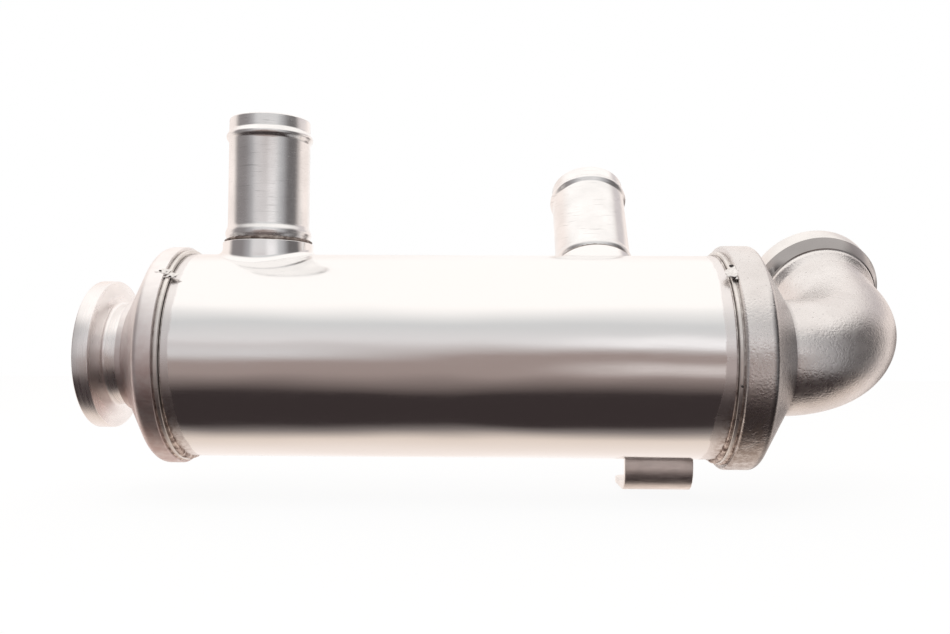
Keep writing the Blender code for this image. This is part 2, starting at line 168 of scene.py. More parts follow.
# Stations along the axis, from the frame
FLANGE_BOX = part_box("inlet_flange")
CAP_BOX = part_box("inlet_cap")
HEADER_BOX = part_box("inlet_header_plate")
SHELL_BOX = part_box("housing_tube")
CAST_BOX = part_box("outlet_elbow")
INLET_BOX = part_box("coolant_inlet_spigot")
OUTLET_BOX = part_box("coolant_outlet_spigot")
SHELL_START = SHELL_BOX[0].x
SHELL_END = SHELL_BOX[1].x
SHELL_RADIUS = -SHELL_BOX[0].z
SHELL_BORE = SHELL_RADIUS - SHELL_WALL
CAST_START = CAST_BOX[0].x
COLLAR_BORE = SPIGOT_RADIUS + SEAT
SPIGOT_HEIGHT = INLET_BOX[1].z
LEFT_SEAM = HEADER_BOX[0].x + HEADER_RIM / 2
RIGHT_SEAM = CAST_START - 0.0004


# Meshes

def add_mesh(name, form, replaced=(), materials=(), smooth=35):
    """A piece from a bmesh, riding on the root body, in place of the CAD nodes named."""
    bmesh.ops.recalc_face_normals(form, faces=form.faces)
    mesh = bpy.data.meshes.new(name)
    form.to_mesh(mesh)
    form.free()
    mesh.shade_smooth()
    mesh.set_sharp_from_angle(angle=math.radians(smooth))
    made = bpy.data.objects.new(name, mesh)
    bpy.context.scene.collection.objects.link(made)
    for material in materials:
        mesh.materials.append(material)
    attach(made, "root")
    if replaced:
        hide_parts(*replaced)
    return made


def arc(centre, radius, start, end, steps=ROUND_STEPS):
    """Points on an arc, from one angle to another, the first axis being at 0 degrees."""
    turns = [math.radians(start + (end - start) * step / steps) for step in range(steps + 1)]
    return [(centre[0] + radius * math.cos(turn), centre[1] + radius * math.sin(turn)) for turn in turns]


def lathe(form, outline, sides, closed=True):
    """Rings of faces round X along an outline of (along, radius) points."""
    rings = []
    for along, radius in outline:
        rings.append([form.verts.new((along, radius * math.sin(math.tau * side / sides),
                                      radius * math.cos(math.tau * side / sides)))
                      for side in range(sides)])
    join_rings(form, rings, closed)
    return rings


def join_rings(form, rings, closed=True, slots=None):
    """Faces between each ring and the next, each band of them in its own material slot if given."""
    pairs = list(zip(rings, rings[1:] + rings[:1])) if closed else list(zip(rings, rings[1:]))
    for number, (first, second) in enumerate(pairs):
        for side in range(len(first)):
            following = (side + 1) % len(first)
            face = form.faces.new((first[side], first[following], second[following], second[side]))
            if slots:
                face.material_index = slots[number]


def standing(angle, along):
    """Where a piece made along X stands out of the shell, at an angle and a place along it."""
    outward = Vector((0, math.sin(math.radians(angle)), math.cos(math.radians(angle))))
    across = Vector((1, 0, 0))
    turn = Matrix((outward, across, outward.cross(across))).transposed()
    return Matrix.Translation((along, 0, 0)) @ turn.to_4x4()


def cut(made, form):
    """Cuts a bmesh's form out of a piece, and applies the cut."""
    bmesh.ops.recalc_face_normals(form, faces=form.faces)
    mesh = bpy.data.meshes.new("cutter")
    form.to_mesh(mesh)
    form.free()
    cutter = bpy.data.objects.new("cutter", mesh)
    bpy.context.scene.collection.objects.link(cutter)
    step = made.modifiers.new("cut", "BOOLEAN")
    step.operation = "DIFFERENCE"
    step.object = cutter
    bpy.context.view_layer.update()
    evaluated = made.evaluated_get(bpy.context.evaluated_depsgraph_get())
    result = bpy.data.meshes.new_from_object(evaluated)
    made.modifiers.remove(step)
    made.data = result
    bpy.data.objects.remove(cutter)


def bar(form, start, end, radius, sides, y=0.0, z=0.0):
    """A closed round bar along X."""
    lie = Matrix.Translation(((start + end) / 2, y, z)) @ Matrix.Rotation(math.pi / 2, 4, "Y")
    bmesh.ops.create_cone(form, cap_ends=True, segments=sides, radius1=radius, radius2=radius,
                          depth=end - start, matrix=lie)


def round_normals(made, radius):
    """Points the outer wall's normals straight out, so that the cuts in it don't mark its shine."""
    mesh = made.data
    normals = [Vector(corner.vector) for corner in mesh.corner_normals]
    for face in mesh.polygons:
        middle = Vector((0, face.center.y, face.center.z))
        if abs(face.normal.x) > 0.5 or middle.length < radius * 0.98:
            continue
        for corner in face.loop_indices:
            place = mesh.vertices[mesh.loops[corner].vertex_index].co
            normals[corner] = Vector((0, place.y, place.z)).normalized()
    mesh.normals_split_custom_set(normals)


# Materials

# Colours of the polished shell, of its dull zones and of the stain at their edge
POLISHED = (0.93, 0.925, 0.92)
DULLED = (0.84, 0.81, 0.80)
BROWN_STAIN = (0.40, 0.32, 0.28)
# Dull zones beside the brazed ends: their width above and below, their rougher shine and the
# height from which they widen
LEFT_DULL = (0.0022, 0.0034)
RIGHT_DULL = (0.0027, 0.0046)
DULL_SHINE = 0.17
DULL_HEIGHTS = (-0.004, -0.022)
# The drawn tube's slight waviness: its grain along and across, and its share of the bump
WAVE_GRAIN = (22.0, 60.0, 60.0)
WAVE_HEIGHT = 150.0

# Colours of the casting's skin, its pits, the painted shade on its recessed cone, the soot by the seam
# and the painted dark line at the shoulder's rim
SKIN_DARK = (0.73, 0.70, 0.685)
SKIN_PALE = (0.83, 0.805, 0.79)
PITS = (0.42, 0.40, 0.39)
CONE_PAINTED_SHADE = (0.34, 0.32, 0.32)
SOOT = (0.30, 0.23, 0.19)
RIM_PAINTED_SHADE = (0.20, 0.19, 0.19)
# Where the cone's painted shade begins and is full at both ends, and where the soot does, from the collar
CONE_START = (0.0078, 0.0088)
CONE_STOP = (0.0176, 0.0164)
SOOT_REACH = (0.0095, 0.0050)
SOOT_HEIGHTS = (-0.004, -0.020)

# Heights between which the cap's heat tint comes in, downwards
TINT_HEIGHTS = (0.014, -0.010)


def add_node(tree, kind, inputs=None, **settings):
    """A node whose inputs are set to values or joined to other nodes' outputs."""
    made = tree.nodes.new("ShaderNode" + kind)
    for name, value in settings.items():
        setattr(made, name, value)
    for name, value in (inputs or {}).items():
        if isinstance(value, bpy.types.NodeSocket):
            tree.links.new(value, made.inputs[name])
        else:
            made.inputs[name].default_value = value
    return made


def maths(tree, operation, *values):
    """A Math node of values and other nodes' outputs."""
    made = tree.nodes.new("ShaderNodeMath")
    made.operation = operation
    for socket, value in zip(made.inputs, values):
        if isinstance(value, bpy.types.NodeSocket):
            tree.links.new(value, socket)
        else:
            socket.default_value = value
    return made.outputs[0]


def span(tree, value, low, high, to_low=0.0, to_high=1.0):
    """A value carried from one range to another and held at its ends."""
    made = add_node(tree, "MapRange", {"Value": value, "From Min": low, "From Max": high,
                                       "To Min": to_low, "To Max": to_high})
    return made.outputs[0]


def ramp(tree, factor, stops):
    """Colours along a factor, from (place, colour) pairs."""
    made = tree.nodes.new("ShaderNodeValToRGB")
    tree.links.new(factor, made.inputs[0])
    colours = made.color_ramp.elements
    while len(colours) < len(stops):
        colours.new(0.5)
    for element, (place, colour) in zip(colours, stops):
        element.position = place
        element.color = (*colour, 1.0)
    return made.outputs[0]


def mix(tree, factor, first, second):
    """A mix of two colours, each a value or another node's output."""
    made = tree.nodes.new("ShaderNodeMix")
    made.data_type = "RGBA"
    for socket, value in ((made.inputs[0], factor), (made.inputs[6], first), (made.inputs[7], second)):
        if isinstance(value, bpy.types.NodeSocket):
            tree.links.new(value, socket)
        else:
            socket.default_value = (*value, 1.0) if isinstance(value, tuple) else value
    return made.outputs[2]


def object_place(tree):
    """The object's own coordinates."""
    return tree.nodes.new("ShaderNodeTexCoord").outputs["Object"]


def stretched(tree, place, scale):
    """The object's coordinates, scaled by a different amount along each axis."""
    return add_node(tree, "Mapping", {"Vector": place, "Scale": scale}).outputs[0]


def grain(tree, vector, scale, detail=3.0, roughness=0.55):
    """Noise between 0 and 1."""
    made = add_node(tree, "TexNoise", {"Vector": vector, "Scale": scale, "Detail": detail,
                                       "Roughness": roughness})
    return made.outputs["Fac"]


def start_metal(name):
    """A new metal: its material, node tree and Principled shader."""
    material = bpy.data.materials.new(name)
    material.use_nodes = True
    shader = material.node_tree.nodes["Principled BSDF"]
    shader.inputs["Metallic"].default_value = 1.0
    return material, material.node_tree, shader


def bump(tree, shader, height, strength, distance):
    """Joins a height to the shader's normal."""
    made = add_node(tree, "Bump", {"Height": height, "Strength": strength, "Distance": distance})
    tree.links.new(made.outputs[0], shader.inputs["Normal"])


def satin_metal(name, colour, roughness, lines=(40.0, 400.0, 400.0), uneven=0.10, shine_change=0.08,
                scratches=0.0, tint=None):
    """Satin sheet or tube: faint drawn lines, cloudy tone, uneven shine, scratches and heat tint."""
    material, tree, shader = start_metal(name)
    place = object_place(tree)
    cloud = grain(tree, place, 120.0)
    fine = grain(tree, stretched(tree, place, lines), 6.0, 4.0)
    dark = tuple(part * (1 - uneven) for part in colour)
    bright = tuple(min(part * (1 + uneven), 1.0) for part in colour)
    tone = mix(tree, span(tree, cloud, 0.35, 0.65), dark, bright)
    if tint:
        level = add_node(tree, "SeparateXYZ", {"Vector": place}).outputs["Z"]
        low = span(tree, level, *TINT_HEIGHTS)
        patches = span(tree, grain(tree, place, 260.0, 4.0, 0.6), 0.30, 0.60, 0.45, 1.0)
        tone = mix(tree, maths(tree, "MULTIPLY", low, patches), tone, tint)
    if scratches:
        marks = grain(tree, stretched(tree, place, (130.0, 130.0, 2600.0)), 1.0, 3.0, 0.6)
        marks = maths(tree, "MULTIPLY", span(tree, marks, 0.62, 0.72), scratches)
        tone = mix(tree, marks, tone, tuple(part * 0.35 for part in colour))
    tree.links.new(tone, shader.inputs["Base Color"])
    shine = span(tree, fine, 0.3, 0.7, roughness - shine_change, roughness + shine_change)
    tree.links.new(shine, shader.inputs["Roughness"])
    bump(tree, shader, fine, 0.15, 0.00003)
    return material


def shell_metal():
    """Polished tube with fine scratches, dulled and stained beside the brazed ends."""
    material, tree, shader = start_metal("shell_polished")
    place = object_place(tree)
    parts = add_node(tree, "SeparateXYZ", {"Vector": place}).outputs
    low = span(tree, parts["Z"], *DULL_HEIGHTS)
    wave = span(tree, grain(tree, place, 150.0, 2.0, 0.5), 0.3, 0.7, -0.0003, 0.0003)
    nibble = span(tree, grain(tree, place, 900.0, 3.0, 0.6), 0.3, 0.7, -0.0001, 0.0001)
    ragged = maths(tree, "ADD", wave, nibble)
    from_start = maths(tree, "SUBTRACT", parts["X"], SHELL_START)
    from_end = maths(tree, "SUBTRACT", SHELL_END, parts["X"])
    left_width = span(tree, low, 0.0, 1.0, *LEFT_DULL)
    right_width = span(tree, low, 0.0, 0.6, *RIGHT_DULL)
    left = maths(tree, "SUBTRACT", maths(tree, "ADD", left_width, ragged), from_start)
    right = maths(tree, "SUBTRACT", maths(tree, "ADD", right_width, ragged), from_end)
    dull = span(tree, maths(tree, "MAXIMUM", left, right), -0.0001, 0.0003)
    near = maths(tree, "MINIMUM", from_start, from_end)
    crust = grain(tree, place, 700.0, 5.0, 0.65)
    stain = maths(tree, "MULTIPLY", span(tree, near, 0.0040, 0.0), span(tree, crust, 0.40, 0.58))
    scratch = grain(tree, stretched(tree, place, (60.0, 900.0, 900.0)), 3.0, 5.0, 0.7)
    cross = grain(tree, stretched(tree, place, (1400.0, 90.0, 90.0)), 2.0, 3.0, 0.7)
    tone = mix(tree, dull, POLISHED, DULLED)
    brown = maths(tree, "MULTIPLY", stain, maths(tree, "MULTIPLY", dull, low))
    tone = mix(tree, brown, tone, BROWN_STAIN)
    tree.links.new(tone, shader.inputs["Base Color"])
    polish = maths(tree, "ADD", span(tree, scratch, 0.35, 0.75, 0.10, 0.18),
                   span(tree, cross, 0.60, 0.75, 0.0, 0.05))
    shine = maths(tree, "ADD", polish, maths(tree, "MULTIPLY", dull, DULL_SHINE))
    tree.links.new(shine, shader.inputs["Roughness"])
    marks = maths(tree, "ADD", scratch, maths(tree, "MULTIPLY", span(tree, cross, 0.66, 0.72), 0.5))
    waviness = grain(tree, stretched(tree, place, WAVE_GRAIN), 1.0, 1.0, 0.5)
    height = maths(tree, "ADD", marks, maths(tree, "MULTIPLY", waviness, WAVE_HEIGHT))
    bump(tree, shader, height, 0.22, 0.00002)
    return material


def cast_metal():
    """As-cast stainless: a pebbled skin with dark pits, stained low down beside the seam, with painted
    shade on the recessed cone and a painted dark line at the shoulder's rim.
    """
    material, tree, shader = start_metal("cast_skin")
    place = object_place(tree)
    parts = add_node(tree, "SeparateXYZ", {"Vector": place}).outputs
    pebble = grain(tree, place, 1700.0, 2.0, 0.5)
    coarse = grain(tree, place, 480.0, 4.0, 0.6)
    cloud = grain(tree, place, 70.0, 4.0)
    tone = mix(tree, span(tree, cloud, 0.35, 0.65), SKIN_DARK, SKIN_PALE)
    tone = mix(tree, span(tree, pebble, 0.36, 0.20), tone, PITS)
    # Painted shade: the recessed cone between the collar and the bend is darkened in its colour
    starts = span(tree, parts["X"], *(CAST_START + along for along in CONE_START))
    stops = span(tree, parts["X"], *(CAST_START + along for along in CONE_STOP))
    cone = maths(tree, "MULTIPLY", starts, stops)
    tone = mix(tree, maths(tree, "MULTIPLY", cone, 0.55), tone, CONE_PAINTED_SHADE)
    low = span(tree, parts["Z"], *SOOT_HEIGHTS)
    near = span(tree, parts["X"], *(CAST_START + along for along in SOOT_REACH))
    soot = maths(tree, "MULTIPLY", low, maths(tree, "MULTIPLY", near, span(tree, coarse, 0.25, 0.60)))
    tone = mix(tree, maths(tree, "MULTIPLY", soot, 0.75), tone, SOOT)
    # Painted shade: a dark line round the shoulder's rim, kept off its top, stands in for the dark that
    # the rim reflects
    rim = maths(tree, "ABSOLUTE", maths(tree, "SUBTRACT", parts["X"], CAST_START + CAST_COLLAR + 0.0005))
    rim = maths(tree, "MULTIPLY", span(tree, rim, 0.0011, 0.0003), span(tree, parts["Z"], 0.018, 0.008))
    tone = mix(tree, maths(tree, "MULTIPLY", rim, 0.8), tone, RIM_PAINTED_SHADE)
    tree.links.new(tone, shader.inputs["Base Color"])
    tree.links.new(span(tree, coarse, 0.3, 0.7, 0.23, 0.33), shader.inputs["Roughness"])
    height = maths(tree, "ADD", pebble, maths(tree, "MULTIPLY", coarse, 0.6))
    bump(tree, shader, height, 0.4, 0.00022)
    return material


def turned_metal(name, colour, roughness, axis_scale):
    """Turned faces: fine rings round the piece's own axis."""
    material, tree, shader = start_metal(name)
    place = object_place(tree)
    rings = grain(tree, stretched(tree, place, axis_scale), 1.0, 4.0, 0.6)
    cloud = grain(tree, place, 90.0)
    dark = tuple(part * 0.9 for part in colour)
    tone = mix(tree, span(tree, cloud, 0.35, 0.65), dark, colour)
    tree.links.new(tone, shader.inputs["Base Color"])
    tree.links.new(span(tree, rings, 0.3, 0.7, roughness - 0.06, roughness + 0.08),
                   shader.inputs["Roughness"])
    bump(tree, shader, rings, 0.12, 0.00002)
    return material


def braze_metal(name, brown_from, brown_to, level=1.0):
    """Braze and weld metal: rough, lumpy and tarnished, browner from one height to another."""
    material, tree, shader = start_metal(name)
    place = object_place(tree)
    height = add_node(tree, "SeparateXYZ", {"Vector": place}).outputs["Z"]
    lumps = grain(tree, place, 1300.0, 4.0, 0.65)
    tint = grain(tree, place, 500.0, 3.0)
    pale = ramp(tree, tint, [(0.30, (0.42, 0.38, 0.36)), (0.50, (0.66, 0.62, 0.60)),
                             (0.66, (0.80, 0.77, 0.74))])
    brown = [(0.32, (0.20, 0.14, 0.12)), (0.50, (0.60, 0.50, 0.45)), (0.66, (0.86, 0.77, 0.70))]
    brown = ramp(tree, tint, [(stop, tuple(part * level for part in tone)) for stop, tone in brown])
    share = span(tree, height, brown_from, brown_to)
    tree.links.new(mix(tree, share, pale, brown), shader.inputs["Base Color"])
    tree.links.new(span(tree, lumps, 0.3, 0.7, 0.28, 0.50), shader.inputs["Roughness"])
    bump(tree, shader, lumps, 0.8, 0.0002)
    return material


def weld_metal():
    """Fresh tack weld: bright, smooth lumps."""
    material, tree, shader = start_metal("tack_weld")
    place = object_place(tree)
    ripple = grain(tree, place, 1400.0, 3.0)
    tone = mix(tree, span(tree, ripple, 0.35, 0.65), (0.72, 0.70, 0.68), (0.92, 0.90, 0.88))
    tree.links.new(tone, shader.inputs["Base Color"])
    shader.inputs["Roughness"].default_value = 0.28
    bump(tree, shader, ripple, 0.4, 0.0001)
    return material


def soot_metal():
    """Burnt specks beside the welds."""
    material, tree, shader = start_metal("burnt_speck")
    ripple = grain(tree, object_place(tree), 2500.0, 2.0)
    tone = mix(tree, ripple, (0.015, 0.013, 0.012), (0.06, 0.05, 0.045))
    tree.links.new(tone, shader.inputs["Base Color"])
    shader.inputs["Metallic"].default_value = 0.0
    shader.inputs["Roughness"].default_value = 0.6
    return material


# Pieces

def bead(middle, width, rise, radius):
    """A rolled bead on a tube's wall, from the far end of the bead to the near one."""
    shares = [1 - 2 * step / BEAD_STEPS for step in range(BEAD_STEPS + 1)]
    return [(middle + width / 2 * share, radius + rise * (1 + math.cos(math.pi * share)) / 2)
            for share in shares]


def make_inlet_flange(metal):
    """The turned flange with its face, rim, fillet and neck."""
    radius = FLANGE_BOX[1].z
    end = FLANGE_BOX[1].x
    outline = arc((EDGE_BREAK, FLANGE_BORE + EDGE_BREAK), EDGE_BREAK, 270, 180)
    outline += arc((EDGE_BREAK, radius - EDGE_BREAK), EDGE_BREAK, 180, 90)
    outline += arc((FLANGE_RIM - EDGE_BREAK, radius - EDGE_BREAK), EDGE_BREAK, 90, 0)
    outline += arc((FLANGE_RIM + 2 * NECK_FILLET, NECK_RADIUS + NECK_FILLET), NECK_FILLET, 180, 270)
    outline += [(end, NECK_RADIUS), (end, FLANGE_BORE)]
    form = bmesh.new()
    lathe(form, outline, SIDES)
    add_mesh("inlet_flange_turned", form, ["inlet_flange"], [metal])


def make_inlet_cap(metal):
    """The pressed cap: hub, cone, round shoulder and skirt, with its wall of one thickness."""
    slope = math.radians(CAP_CONE_ANGLE)
    start = CAP_BOX[0].x
    end = CAP_BOX[1].x
    radius = CAP_BOX[1].z
    bore = NECK_RADIUS + SEAT
    hub = bore + CAP_HUB_WALL
    hub_end = start + CAP_HUB_LENGTH
    rise = radius - CAP_SHOULDER_ROUND - hub
    shoulder = (hub_end + (rise * math.cos(slope) + CAP_SHOULDER_ROUND) / math.sin(slope),
                radius - CAP_SHOULDER_ROUND)
    drop = hub - CAP_WALL * math.cos(slope) - bore
    foot = hub_end + CAP_WALL * math.sin(slope) - drop / math.tan(slope)
    round_edge = EDGE_BREAK / 2
    outline = [(start, bore)]
    outline += arc((start + round_edge, hub - round_edge), round_edge, 180, 90, EDGE_STEPS)
    outline += arc((hub_end, hub + round_edge), round_edge, 270, 270 + CAP_CONE_ANGLE,
                   EDGE_STEPS)
    outline += arc(shoulder, CAP_SHOULDER_ROUND, 90 + CAP_CONE_ANGLE, 90)
    outline += arc((end - round_edge, radius - round_edge), round_edge, 90, 0, EDGE_STEPS)
    outline += [(end, radius - CAP_WALL)]
    outline += arc(shoulder, CAP_SHOULDER_ROUND - CAP_WALL, 90, 90 + CAP_CONE_ANGLE)
    outline += [(foot, bore)]
    form = bmesh.new()
    lathe(form, outline, SIDES)
    add_mesh("inlet_cap_pressed", form, ["inlet_cap"], [metal])


def tube_nodes():
    """The names of the gas tubes, in order."""
    return sorted(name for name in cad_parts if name.startswith("gas_tube"))


def make_header_plate(node, inward, metal):
    """A cup whose plate lies inward of its rim, with a hole for each tube."""
    low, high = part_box(node)
    rim = low.x if inward > 0 else high.x
    depth = high.x - low.x
    cup = SHELL_BORE - SEAT
    outline = [(depth, PLATE_CENTRE)]
    outline += arc((depth - HEADER_ROUND, cup - HEADER_ROUND), HEADER_ROUND, 0, 90)
    outline += [(HEADER_RIM, cup)]
    round_edge = EDGE_BREAK / 2
    outline += arc((HEADER_RIM - round_edge, high.z - round_edge), round_edge, 0, 90, RIM_STEPS)
    outline += arc((round_edge, high.z - round_edge), round_edge, 90, 180, RIM_STEPS)
    outline += [(0, cup - HEADER_CUP_WALL), (depth - HEADER_PLATE, cup - HEADER_CUP_WALL),
                (depth - HEADER_PLATE, PLATE_CENTRE)]
    form = bmesh.new()
    rings = lathe(form, [(rim + inward * along, radius) for along, radius in outline], SIDES, False)
    form.faces.new(rings[0])
    form.faces.new(rings[-1][::-1])
    plate = add_mesh(node + "_pressed", form, [node], [metal])
    holes = bmesh.new()
    for name in tube_nodes():
        start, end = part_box(name)
        middle = (start + end) / 2
        radius = (end.z - start.z) / 2 + SEAT / 2
        bar(holes, rim - 2 * depth, rim + 2 * depth, radius, TUBE_SIDES, middle.y, middle.z)
    cut(plate, holes)


def make_gas_tubes(metal):
    """The gas tubes, each where its solid is."""
    for name in tube_nodes():
        low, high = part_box(name)
        middle = (low + high) / 2
        radius = (high.z - low.z) / 2
        form = bmesh.new()
        lathe(form, [(low.x, radius - TUBE_WALL), (low.x, radius), (high.x, radius),
                     (high.x, radius - TUBE_WALL)], TUBE_SIDES)
        bmesh.ops.translate(form, verts=form.verts, vec=(0, middle.y, middle.z))
        add_mesh(name + "_drawn", form, [name], [metal])


def collar_rings(form, place):
    """A collar drawn out of the shell's wall: a flare along the saddle curve, a wall and a rim."""
    outer = COLLAR_BORE + COLLAR_WALL
    rings = []

    def ring(radius, above_wall=None, level=None):
        points = []
        for side in range(COLLAR_SIDES):
            turn = math.tau * side / COLLAR_SIDES
            across, around = radius * math.cos(turn), radius * math.sin(turn)
            wall = math.sqrt(SHELL_RADIUS ** 2 - around ** 2)
            height = wall + above_wall if level is None else level
            points.append(form.verts.new(place @ Vector((height, across, around))))
        rings.append(points)

    ring(COLLAR_BORE, -SHELL_WALL)
    ring(outer + COLLAR_FLARE, -SHELL_WALL / 2)
    for step in range(ROUND_STEPS + 1):
        lean = math.radians(90 * step / ROUND_STEPS)
        ring(outer + COLLAR_FLARE * (1 - math.sin(lean)),
             COLLAR_FLARE * (1 - math.cos(lean)) - COLLAR_SINK)
    edge = EDGE_BREAK / 2
    for along, radius in arc((COLLAR_HEIGHT - edge, outer - edge), edge, 90, 0, EDGE_STEPS):
        ring(radius, level=along)
    ring(COLLAR_BORE, level=COLLAR_HEIGHT)
    join_rings(form, rings)


def make_shell(spigots, metal):
    """The shell with its wall cut for both spigots, and the collars drawn out of it."""
    edge = EDGE_BREAK / 2
    outline = arc((SHELL_START + edge, SHELL_RADIUS - edge), edge, 180, 90, RIM_STEPS)
    outline += arc((SHELL_END - edge, SHELL_RADIUS - edge), edge, 90, 0, RIM_STEPS)
    outline += [(SHELL_END, SHELL_BORE), (SHELL_START, SHELL_BORE)]
    form = bmesh.new()
    lathe(form, outline, SHELL_SIDES)
    shell = add_mesh("housing_tube_polished", form, ["housing_tube"], [metal])
    for node, along, angle in spigots:
        drill = bmesh.new()
        bar(drill, SHELL_BORE / 2, SPIGOT_HEIGHT, COLLAR_BORE, SIDES)
        bmesh.ops.transform(drill, matrix=standing(angle, along), verts=drill.verts)
        cut(shell, drill)
    round_normals(shell, SHELL_RADIUS)
    for node, along, angle in spigots:
        form = bmesh.new()
        collar_rings(form, standing(angle, along))
        add_mesh(node.replace("spigot", "collar"), form, [], [metal])


def make_spigot(node, along, angle, metal):
    """A spigot with its hose bead, its stop bead and its foot cut to the shell's bore."""
    bore = SPIGOT_RADIUS - SPIGOT_WALL
    hose = SPIGOT_HEIGHT - HOSE_BEAD_FROM_RIM
    stop = COLLAR_HEIGHT + SEAT + STOP_BEAD_WIDTH / 2
    foot = SHELL_BORE - SEAT
    rim = SPIGOT_HEIGHT - EDGE_BREAK
    outline = arc((rim, bore + EDGE_BREAK), EDGE_BREAK, 270, 360, EDGE_STEPS)
    outline += arc((rim, SPIGOT_RADIUS - EDGE_BREAK), EDGE_BREAK, 0, 90, EDGE_STEPS)
    outline += bead(hose, HOSE_BEAD_WIDTH, HOSE_BEAD_RISE, SPIGOT_RADIUS)
    outline += bead(stop, STOP_BEAD_WIDTH, STOP_BEAD_RISE, SPIGOT_RADIUS)
    outline += [(foot, SPIGOT_RADIUS), (foot, bore)]
    outline += bead(stop, STOP_BEAD_WIDTH, STOP_BEAD_RISE, bore)[::-1]
    outline += bead(hose, HOSE_BEAD_WIDTH, HOSE_BEAD_RISE, bore)[::-1]
    form = bmesh.new()
    rings = lathe(form, outline, SIDES)
    feet = [ring for ring, (height, radius) in zip(rings, outline) if height == foot]
    for point in (point for ring in feet for point in ring):
        point.co.x = math.sqrt((SHELL_BORE + SEAT) ** 2 - point.co.z ** 2)
    bmesh.ops.transform(form, matrix=standing(angle, along), verts=form.verts)
    add_mesh(node + "_drawn", form, [node], [metal])


def elbow_ring(form, path, radius, crease):
    """A ring of the casting where the path has come to, with its inner side drawn to a crease."""
    leg = Vector((0, math.sin(math.radians(LEG_ANGLE)), math.cos(math.radians(LEG_ANGLE))))
    run = Vector((1, 0, 0))
    bend_start = CAST_CONE_END + CREASE_TO_BEND
    past = path - bend_start
    turn = min(max(past / BEND_RADIUS, 0.0), math.pi / 2)
    outward = -leg * math.cos(turn) + run * math.sin(turn)
    ahead = run * math.cos(turn) + leg * math.sin(turn)
    straight = past - turn * BEND_RADIUS
    pivot = run * (CAST_START + bend_start) + leg * BEND_RADIUS
    centre = pivot + outward * BEND_RADIUS + ahead * straight
    sideways = ahead.cross(outward)
    inner = BEND_RADIUS - radius
    corner = inner / math.cos(min(turn, math.pi / 2 - turn)) - inner
    points = []
    for side in range(SIDES):
        angle = math.tau * side / SIDES
        away = radius * math.cos(angle)
        if away < 0:
            away *= 1 - crease * corner / radius
        points.append(form.verts.new(centre + outward * away + sideways * radius * math.sin(angle)))
    return points


def make_elbow(skin, machined, pale):
    """The casting, with the flange's back, rim and face machined; the back's machined colour is darkened,
    painted shade.
    """
    bend_start = CAST_CONE_END + CREASE_TO_BEND
    bend_length = BEND_RADIUS * math.pi / 2
    face = bend_start + bend_length + LEG_HEIGHT - BEND_RADIUS
    bend = [(bend_start + bend_length * step / BEND_STEPS,
             CREASE_RADIUS + (LEG_RADIUS - CREASE_RADIUS) * step / BEND_STEPS)
            for step in range(BEND_STEPS + 1)]
    shoulder = (CAST_COLLAR, CAST_RADIUS - CAST_SHOULDER_ROUND)
    reach = (CAST_CONE_END - shoulder[0], CREASE_RADIUS - shoulder[1])
    touch = math.atan2(reach[1], reach[0]) + math.acos(CAST_SHOULDER_ROUND / math.hypot(*reach))
    mouth = CAST_RADIUS - CAST_WALL
    throat = CREASE_RADIUS - ELBOW_WALL
    cone_in = CAST_CONE_END - (CAST_WALL / math.sin(touch) - ELBOW_WALL) * math.tan(touch)
    cone_out = cone_in - (mouth - throat) * math.tan(touch)
    rim = face - OUTLET_FLANGE_RIM
    foot = rim - OUTLET_FLANGE_CONE
    lip = foot - OUTLET_LIP
    flare = lip - (OUTLET_FLANGE_FOOT - LEG_RADIUS)
    bore = LEG_RADIUS - ELBOW_WALL

    outer = arc((CAST_MOUTH_ROUND, CAST_RADIUS - CAST_MOUTH_ROUND), CAST_MOUTH_ROUND, 180, 90)
    outer += arc(shoulder, CAST_SHOULDER_ROUND, 90, math.degrees(touch))
    outer += [(CAST_CONE_END, CREASE_RADIUS)] + bend
    outer += [(flare - FLARE_LEAD, LEG_RADIUS), (flare, LEG_RADIUS + FLARE_EASE),
              (lip - FLARE_END, OUTLET_FLANGE_FOOT - FLARE_EASE), (lip, OUTLET_FLANGE_FOOT)]
    machining = [(foot, OUTLET_FLANGE_FOOT + TAPER_STEP),
                 (foot + TAPER_STEP, OUTLET_FLANGE_FOOT + TAPER_RISE),
                 (rim, OUTLET_FLANGE_RADIUS)]
    corner = face - EDGE_BREAK
    edge = arc((corner, OUTLET_FLANGE_RADIUS - EDGE_BREAK), EDGE_BREAK, 90, 0, EDGE_STEPS)
    edge += arc((corner, bore + EDGE_BREAK), EDGE_BREAK, 0, -90, EDGE_STEPS)
    inner = [(path, radius - ELBOW_WALL) for path, radius in bend[::-2]]
    inner += [(cone_in, throat), (cone_out, mouth), (0, mouth)]

    form = bmesh.new()
    rings = [elbow_ring(form, path, radius, BEND_CREASE) for path, radius in outer + machining + edge]
    rings += [elbow_ring(form, path, radius, 0.0) for path, radius in inner]
    # Slot 1, the flange's back cone, has the darkened machined colour, painted shade
    slots = [0] * (len(outer) - 1) + [2] + [1] * (len(machining) - 1)
    slots += [2] * (len(edge) + 1) + [0] * len(inner)
    join_rings(form, rings, True, slots)
    add_mesh("outlet_elbow_cast", form, ["outlet_elbow"], [skin, machined, pale], 40)


